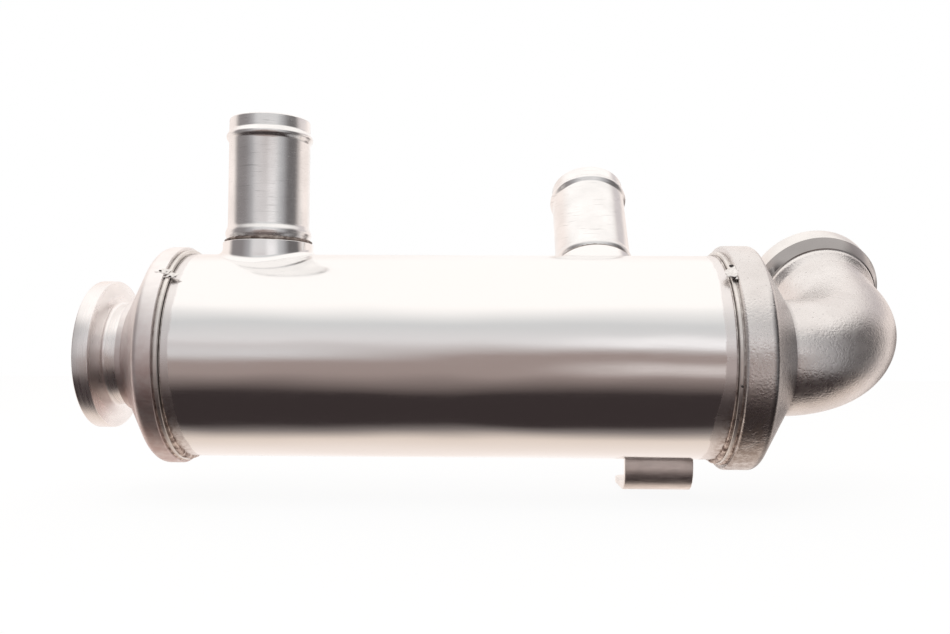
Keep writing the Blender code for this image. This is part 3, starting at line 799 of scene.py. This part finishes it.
def braze_ring(name, along, radius, thin, thick, metal, seed, place=Matrix.Identity(4),
               grainy=0.0):
    """A bead of braze round an axis, thin above and on the sides, and thick and lumpy below."""
    form = bmesh.new()
    rings = []
    for side in range(2 * SIDES):
        turn = math.pi * side / SIDES
        spot = Vector((math.cos(turn) * BRAZE_GRAIN, math.sin(turn) * BRAZE_GRAIN, seed * 2))
        pooled = min(max(-math.cos(turn + POOL_TURN) - POOL_START, 0.0) / POOL_RANGE, 1.0)
        swell = thin + (thick - thin) * pooled
        swell *= 1 + BRAZE_LUMPS * max(pooled, grainy) * noise.noise(spot)
        points = []
        for step in range(BRAZE_SIDES):
            round_turn = math.tau * step / BRAZE_SIDES
            away = radius + swell * math.cos(round_turn)
            points.append(form.verts.new((along + swell * math.sin(round_turn), away * math.sin(turn),
                                          away * math.cos(turn))))
        rings.append(points)
    join_rings(form, rings)
    bmesh.ops.transform(form, matrix=place, verts=form.verts)
    return add_mesh(name, form, [], [metal])


def lump(name, middle, size, metal, seed, uneven):
    """A small uneven lump, its size given as half-widths along, out and around."""
    form = bmesh.new()
    bmesh.ops.create_icosphere(form, subdivisions=5, radius=1.0)
    for point in form.verts:
        point.co *= 1 + uneven * noise.noise(point.co * LUMP_GRAIN + Vector((seed, 0, 0)))
    outward = Vector((0, middle.y, middle.z)).normalized()
    around = Vector((1, 0, 0)).cross(outward)
    lie = Matrix((Vector((1, 0, 0)) * size[0], outward * size[1], around * size[2])).transposed().to_4x4()
    bmesh.ops.transform(form, matrix=Matrix.Translation(middle) @ lie, verts=form.verts)
    add_mesh(name, form, [], [metal])


def seam_place(along, radius, up):
    """A place on a round seam, at an angle up from the side that faces the camera."""
    turn = math.radians(up)
    return Vector((along, -radius * math.cos(turn), radius * math.sin(turn)))


# Name, slot, seam and step along from it, radius, degrees up from the camera's side, half-widths
# along, out and around, and seed of each tack weld and burnt speck
MARKS = [
    ("tack_left", "cap_steel", LEFT_SEAM, -0.0015, 0.0290, 46, (0.0020, 0.0005, 0.0011), 3.0),
    ("tack_left_end", "header_steel", LEFT_SEAM, 0.0005, 0.0286, 44.5, (0.0020, 0.0004, 0.0010), 5.0),
    ("speck_left_1", "cap_steel", LEFT_SEAM, -0.0020, 0.0294, 46, (0.0004, 0.0002, 0.0002), 1.0),
    ("speck_left_2", "header_steel", LEFT_SEAM, 0.0007, 0.0288, 43, (0.0004, 0.0002, 0.0002), 2.0),
    ("tack_right", "cast_steel", RIGHT_SEAM, 0.0, 0.0293, 46.5, (0.0019, 0.0006, 0.0021), 7.0),
    ("speck_right_1", "cast_steel", RIGHT_SEAM, -0.0003, 0.0297, 51, (0.0006, 0.0003, 0.0004), 4.0),
    ("speck_right_2", "cast_steel", RIGHT_SEAM, -0.0003, 0.0293, 42.5, (0.0005, 0.0003, 0.0003), 5.0),
    ("speck_right_3", "cast_steel", RIGHT_SEAM, -0.0003, 0.0290, -14, (0.0003, 0.0002, 0.0003), 6.0),
]


def make_welds(weld, speck):
    """Tack welds across both seams, with burnt specks beside them."""
    for name, slot, seam, step, radius, up, size, seed in MARKS:
        tack = name.startswith("tack")
        lump(name, seam_place(seam + step, radius, up), size, weld if tack else speck, seed,
             TACK_UNEVEN if tack else SPECK_UNEVEN)


# Name, slot, place along the axis, radius, and thickness above and below of the braze in each seam
HEADER_EDGE = HEADER_BOX[1].z
OUTLET_HEADER_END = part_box("outlet_header_plate")[1].x
SEAMS = [
    ("braze_cap_seam", "header_steel", HEADER_BOX[0].x - SEAT / 2, HEADER_EDGE - 0.0004, 0.00012, 0.0006),
    ("braze_shell_left", "header_steel", SHELL_START, SHELL_RADIUS + 0.0001, 0.00010, 0.0008),
    ("braze_shell_right", "header_steel", SHELL_END, SHELL_RADIUS + 0.0001, 0.00022, 0.0009),
    ("braze_cast_seam", "header_steel", OUTLET_HEADER_END + SEAT / 2, HEADER_EDGE - 0.0003, 0.00022,
     0.0006),
    ("braze_neck", "cap_steel", CAP_BOX[0].x, NECK_RADIUS + SEAT / 2, 0.00016, 0.00024),
]
# Braze at the mouth of each collar: its step up from the collar, step out, and thickness
COLLAR_BRAZE = (0.0004, 0.0003, 0.00050, 0.00055)


def make_braze(spigots, metal, brown):
    """Filler metal in every seat that shows, pooled on the underside."""
    for number, (name, slot, along, radius, thin, thick) in enumerate(SEAMS):
        braze_ring(name, along, radius, thin, thick, metal, number + 1)
    up, out, thin, thick = COLLAR_BRAZE
    for node, along, angle in spigots:
        braze_ring(node + "_braze", COLLAR_HEIGHT + up, SPIGOT_RADIUS + out, thin, thick,
                   brown, along * 100, standing(angle, along), 1.0)


def make_bracket(metal):
    """The CAD bracket's form with its edges rounded."""
    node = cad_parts["mounting_bracket"]
    form = bmesh.new()
    form.from_mesh(node.data)
    bmesh.ops.remove_doubles(form, verts=form.verts, dist=1e-6)
    bmesh.ops.dissolve_limit(form, angle_limit=math.radians(1), verts=form.verts, edges=form.edges)
    bracket = add_mesh("mounting_bracket_bent", form, ["mounting_bracket"], [metal])
    step = bracket.modifiers.new("round", "BEVEL")
    step.width = BRACKET_EDGE
    step.segments = RIM_STEPS
    step.angle_limit = math.radians(BRACKET_EDGE_ANGLE)
    step.harden_normals = True


# Studio

def by_degrees(stops):
    """Ramp stops from angles between -180 and 180 degrees."""
    return [((degrees + 180) / 360, colour) for degrees, colour in stops]


# The studio as polished steel shows it: a white tent above, a grey wall ahead with the dusk of
# the camera's place below it, a black gap under that, and warm paper underfoot
WHITE = (1.10, 1.06, 1.03)
WALL = (0.65, 0.65, 0.65)
LIT_WALL = (0.75, 0.72, 0.72)
DUSK = (0.34, 0.27, 0.25)
BLACK = (0.04, 0.03, 0.03)
WARM_PAPER = (0.80, 0.68, 0.60)
PALE_PAPER = (1.00, 0.90, 0.85)
BACKDROP = (1.05, 1.02, 1.00)
GREY = (0.65, 0.60, 0.60)
SHADE = (0.22, 0.19, 0.18)
# By degrees round the shell's axis: 0 ahead of the object, 90 above, -90 below
BANDS = [(-180, BACKDROP), (-148, PALE_PAPER), (-106, WARM_PAPER),
         (-91, SHADE), (-81, BLACK), (-42, BLACK), (-20, DUSK), (0, DUSK), (14, LIT_WALL),
         (34, WALL), (56, WHITE), (150, WHITE), (180, BACKDROP)]
# Panels ahead: where they begin and are full across, their height and half-width in degrees, tone
PANELS = [(-0.05, -0.25, 2, 7, (0.65, 0.62, 0.62)),
          (0.05, 0.20, -15, 6, (0.65, 0.58, 0.56)),
          (0.03, 0.20, 15, 7, (0.95, 0.92, 0.92))]

# To the sides, by degrees round the upright axis: 0 ahead, 90 to the right
NEAR_SIDE = (0.46, 0.45, 0.46)
DARK_SIDE = (0.25, 0.23, 0.23)
DARKEST_SIDE = (0.15, 0.14, 0.14)
SIDES_ROUND = [(-180, BACKDROP), (-150, PALE_PAPER), (-103, PALE_PAPER), (-87, DARK_SIDE),
               (-57, DARK_SIDE), (-32, NEAR_SIDE), (-22, WALL), (28, WALL), (47, NEAR_SIDE),
               (66, DARKEST_SIDE), (92, DARKEST_SIDE), (114, PALE_PAPER), (150, PALE_PAPER),
               (180, BACKDROP)]
# Cards to the right and behind: where each begins and ends round the upright axis and the
# softness of those edges, its lowest and highest point as a share of the radius and their
# softness, and its tone
CARDS = [(94, 152, 15, 0.30, 0.68, 0.10, GREY),
         (122, 152, 8, -0.30, 0.12, 0.06, SHADE)]
# From where the side tones come in, in degrees round, and the heights that hold them
SIDES_IN = (25, 38)
SIDES_TOP = (0.74, 0.52)
SIDES_FOOT = (-0.5, -0.3)
# How far outside and inside its edge a panel's tone begins and is full, in degrees
PANEL_OUTSIDE = 3
PANEL_INSIDE = 4

# Floor: half its side, its drop under the object, its paper, and the glow that rays see
FLOOR_HALF = 1.3
FLOOR_DROP = 0.0005
FLOOR_PAPER = (0.95, 0.94, 0.93, 1.0)
FLOOR_GLOW = 0.93

# Lamp: place, size and watts
KEY_PLACE = (0.0, -0.5, 0.9)
KEY_SIZE = 0.9
KEY_WATTS = 4.0


def make_world():
    """A plain white world. The camera sees it as the background."""
    world = bpy.data.worlds.new("studio")
    bpy.context.scene.world = world
    world.use_nodes = True
    background = world.node_tree.nodes["Background"]
    background.inputs["Color"].default_value = (1.0, 1.0, 1.0, 1.0)
    background.inputs["Strength"].default_value = 1.0


def make_walls():
    """The studio's walls, a dome that lights the object and shows only in its metal."""
    form = bmesh.new()
    bmesh.ops.create_icosphere(form, subdivisions=4, radius=WALLS_RADIUS)
    mesh = bpy.data.meshes.new("walls")
    form.to_mesh(mesh)
    form.free()
    walls = bpy.data.objects.new("walls", mesh)
    walls.location = (CAMERA_X, 0, 0)
    walls.visible_camera = False
    bpy.context.scene.collection.objects.link(walls)
    material = bpy.data.materials.new("studio_walls")
    material.use_nodes = True
    tree = material.node_tree
    tree.nodes.clear()
    place = object_place(tree)
    direction = add_node(tree, "VectorMath", {0: place}, operation="NORMALIZE").outputs[0]
    parts = add_node(tree, "SeparateXYZ", {"Vector": direction}).outputs
    front = maths(tree, "MULTIPLY", parts["Y"], -1.0)
    height = maths(tree, "ARCTAN2", parts["Z"], front)
    height = maths(tree, "ADD", maths(tree, "DIVIDE", height, math.tau), 0.5)
    bands = ramp(tree, height, by_degrees(BANDS))
    for begins, full, level, half, tone in PANELS:
        level = (level + 180) / 360
        away = maths(tree, "ABSOLUTE", maths(tree, "SUBTRACT", height, level))
        edge = span(tree, away, (half + PANEL_OUTSIDE) / 360, (half - PANEL_INSIDE) / 360)
        share = maths(tree, "MULTIPLY", edge, span(tree, parts["X"], begins, full))
        bands = mix(tree, share, bands, tone)
    turn = maths(tree, "ARCTAN2", parts["X"], front)
    sides = ramp(tree, maths(tree, "ADD", maths(tree, "DIVIDE", turn, math.tau), 0.5),
                 by_degrees(SIDES_ROUND))
    aside = span(tree, maths(tree, "ABSOLUTE", turn), *(math.radians(angle) for angle in SIDES_IN))
    level = maths(tree, "MULTIPLY", span(tree, parts["Z"], *SIDES_TOP),
                  span(tree, parts["Z"], *SIDES_FOOT))
    studio = mix(tree, maths(tree, "MULTIPLY", aside, level), bands, sides)
    for begins, ends, soft, low, high, fade, tone in CARDS:
        across = maths(tree, "MULTIPLY",
                       span(tree, turn, math.radians(begins), math.radians(begins + soft)),
                       span(tree, turn, math.radians(ends), math.radians(ends - soft)))
        upright = maths(tree, "MULTIPLY", span(tree, parts["Z"], low, low + fade),
                        span(tree, parts["Z"], high, high - fade))
        studio = mix(tree, maths(tree, "MULTIPLY", across, upright), studio, tone)
    glow = add_node(tree, "Emission", {"Color": studio, "Strength": 1.0})
    add_node(tree, "OutputMaterial", {"Surface": glow.outputs[0]})
    mesh.materials.append(material)
    walls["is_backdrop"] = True


def make_floor():
    """A plain pale floor just under the object's lowest point, clear from below."""
    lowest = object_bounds()[0].z
    form = bmesh.new()
    bmesh.ops.create_grid(form, x_segments=1, y_segments=1, size=FLOOR_HALF)
    mesh = bpy.data.meshes.new("floor")
    form.to_mesh(mesh)
    form.free()
    floor = bpy.data.objects.new("floor", mesh)
    floor.location = (CAMERA_X, 0, lowest - FLOOR_DROP)
    floor.visible_glossy = False
    floor.visible_shadow = False
    bpy.context.scene.collection.objects.link(floor)
    material = bpy.data.materials.new("floor_paper")
    material.use_nodes = True
    tree = material.node_tree
    tree.nodes.clear()
    paper = add_node(tree, "BsdfDiffuse", {"Color": FLOOR_PAPER})
    glow = add_node(tree, "Emission", {"Color": (1.0, 1.0, 1.0, 1.0), "Strength": 1.0})
    path = tree.nodes.new("ShaderNodeLightPath").outputs
    rays = maths(tree, "MAXIMUM", path["Is Camera Ray"],
                 maths(tree, "MAXIMUM", path["Is Glossy Ray"], path["Is Transmission Ray"]))
    seen = add_node(tree, "MixShader", {0: maths(tree, "MULTIPLY", rays, FLOOR_GLOW),
                                        1: paper.outputs[0], 2: glow.outputs[0]})
    under = tree.nodes.new("ShaderNodeNewGeometry").outputs["Backfacing"]
    clear = tree.nodes.new("ShaderNodeBsdfTransparent")
    both = add_node(tree, "MixShader", {0: under, 1: seen.outputs[0], 2: clear.outputs[0]})
    add_node(tree, "OutputMaterial", {"Surface": both.outputs[0]})
    mesh.materials.append(material)
    floor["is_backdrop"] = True


def make_lamp(name, place, size, watts):
    """A large square lamp that faces the object."""
    light = bpy.data.lights.new(name, "AREA")
    light.size = size
    light.energy = watts
    lamp = bpy.data.objects.new(name, light)
    lamp.location = place
    toward = Vector((CAMERA_X, 0, 0)) - Vector(place)
    lamp.rotation_euler = toward.to_track_quat("-Z", "Y").to_euler()
    lamp.visible_glossy = False
    bpy.context.scene.collection.objects.link(lamp)


def make_camera():
    """The photograph's camera, turned by yaw, then pitch, then roll."""
    yaw = Matrix.Rotation(YAW, 3, "Y")
    pitch = Matrix.Rotation(PITCH, 3, "X")
    roll = Matrix.Rotation(ROLL, 3, "Z")
    turned = roll @ pitch @ yaw
    right, up, ahead = (Vector((row[0], row[2], row[1])) for row in turned)
    data = bpy.data.cameras.new("camera")
    data.sensor_width = SENSOR
    data.lens = FOCAL_PIXELS / IMAGE_WIDTH * SENSOR
    data.clip_start = 0.01
    camera = bpy.data.objects.new("camera", data)
    lie = Matrix((right, up, -ahead)).transposed().to_4x4()
    camera.matrix_world = Matrix.Translation((CAMERA_X, -CAMERA_DISTANCE, 0)) @ lie
    bpy.context.scene.collection.objects.link(camera)
    bpy.context.scene.camera = camera


def main():
    spigots = [("coolant_inlet_spigot", (INLET_BOX[0].x + INLET_BOX[1].x) / 2, 0.0),
               ("coolant_outlet_spigot", (OUTLET_BOX[0].x + OUTLET_BOX[1].x) / 2, OUTLET_SPIGOT_ANGLE)]
    flange = turned_metal("flange_turned", (0.98, 0.955, 0.945), 0.27, (1800.0, 60.0, 60.0))
    cap = satin_metal("cap_satin", (0.95, 0.92, 0.91), 0.42, uneven=0.05, tint=(0.66, 0.53, 0.51))
    plain = satin_metal("plain_steel", (0.80, 0.77, 0.74), 0.34)
    spigot = satin_metal("spigot_satin", (0.92, 0.915, 0.91), 0.23, (90.0, 90.0, 900.0), 0.05, 0.05, 0.35)
    strip = satin_metal("bracket_sheet", (0.90, 0.85, 0.82), 0.36)
    braze = braze_metal("braze", 0.0, -0.014)
    brown = braze_metal("braze_brown", 0.1, 0.09, 0.5)
    # Machined metal darkened for the outlet flange's back cone: painted shade for the dark that it
    # reflects
    machined = turned_metal("cast_machined_painted_shade", (0.38, 0.365, 0.36), 0.12, (260.0, 260.0, 260.0))
    pale = turned_metal("cast_rim_machined", (0.92, 0.90, 0.88), 0.34, (260.0, 260.0, 260.0))

    make_inlet_flange(flange)
    make_inlet_cap(cap)
    make_header_plate("inlet_header_plate", 1, plain)
    make_header_plate("outlet_header_plate", -1, plain)
    make_gas_tubes(plain)
    make_shell(spigots, shell_metal())
    for node, along, angle in spigots:
        make_spigot(node, along, angle, spigot)
    make_elbow(cast_metal(), machined, pale)
    make_bracket(strip)
    make_braze(spigots, braze, brown)
    make_welds(weld_metal(), soot_metal())
    for name in ("baffle_inlet_side", "baffle_outlet_side"):
        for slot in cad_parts[name].material_slots:
            slot.material = plain

    make_world()
    make_walls()
    make_floor()
    make_lamp("key", KEY_PLACE, KEY_SIZE, KEY_WATTS)
    make_camera()
    bpy.context.scene.view_settings.view_transform = "Standard"


main()
